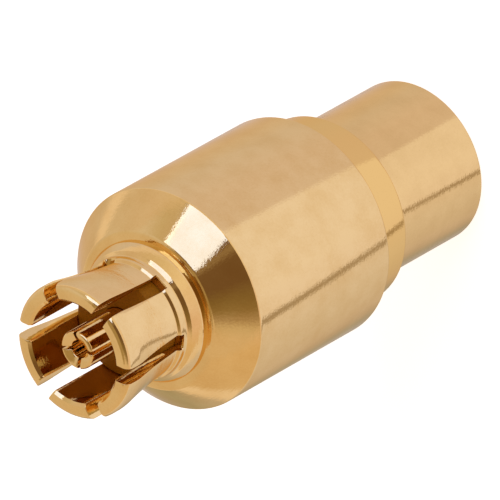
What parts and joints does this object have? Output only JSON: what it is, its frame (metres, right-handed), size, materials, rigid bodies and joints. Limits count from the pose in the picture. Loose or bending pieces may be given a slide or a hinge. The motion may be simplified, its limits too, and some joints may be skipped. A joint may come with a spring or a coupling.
{
  "type": "push-on coaxial cable connector",
  "caption": "Miniature push-on coaxial cable connector with slotted spring tines, a socket contact, a coned body and a rear tube for semi-rigid cable.",
  "frame": {"origin": "centre of the rear face of the cable tube, on which it stands", "axes": "+Z along the connector's axis, towards the tines; the saw cuts of the tines lie at 0, 60 and 120 degrees from +X"},
  "size_m": [0.0032, 0.0032, 0.0077],
  "materials": {
    "shell_gold": "gold plate, satin turned",
    "tine_gold": "gold plate, bright",
    "socket_gold": "gold plate, bright",
    "ferrule_gold": "gold plate, satin turned",
    "dielectric": "plain amber brown"
  },
  "bodies": {
    "root": {"body_shell": "shell_gold", "spring_contact": "tine_gold", "center_contact": "socket_gold", "front_bead": "dielectric", "rear_bead": "dielectric", "cable_ferrule": "ferrule_gold"}
  },
  "joints": []
}
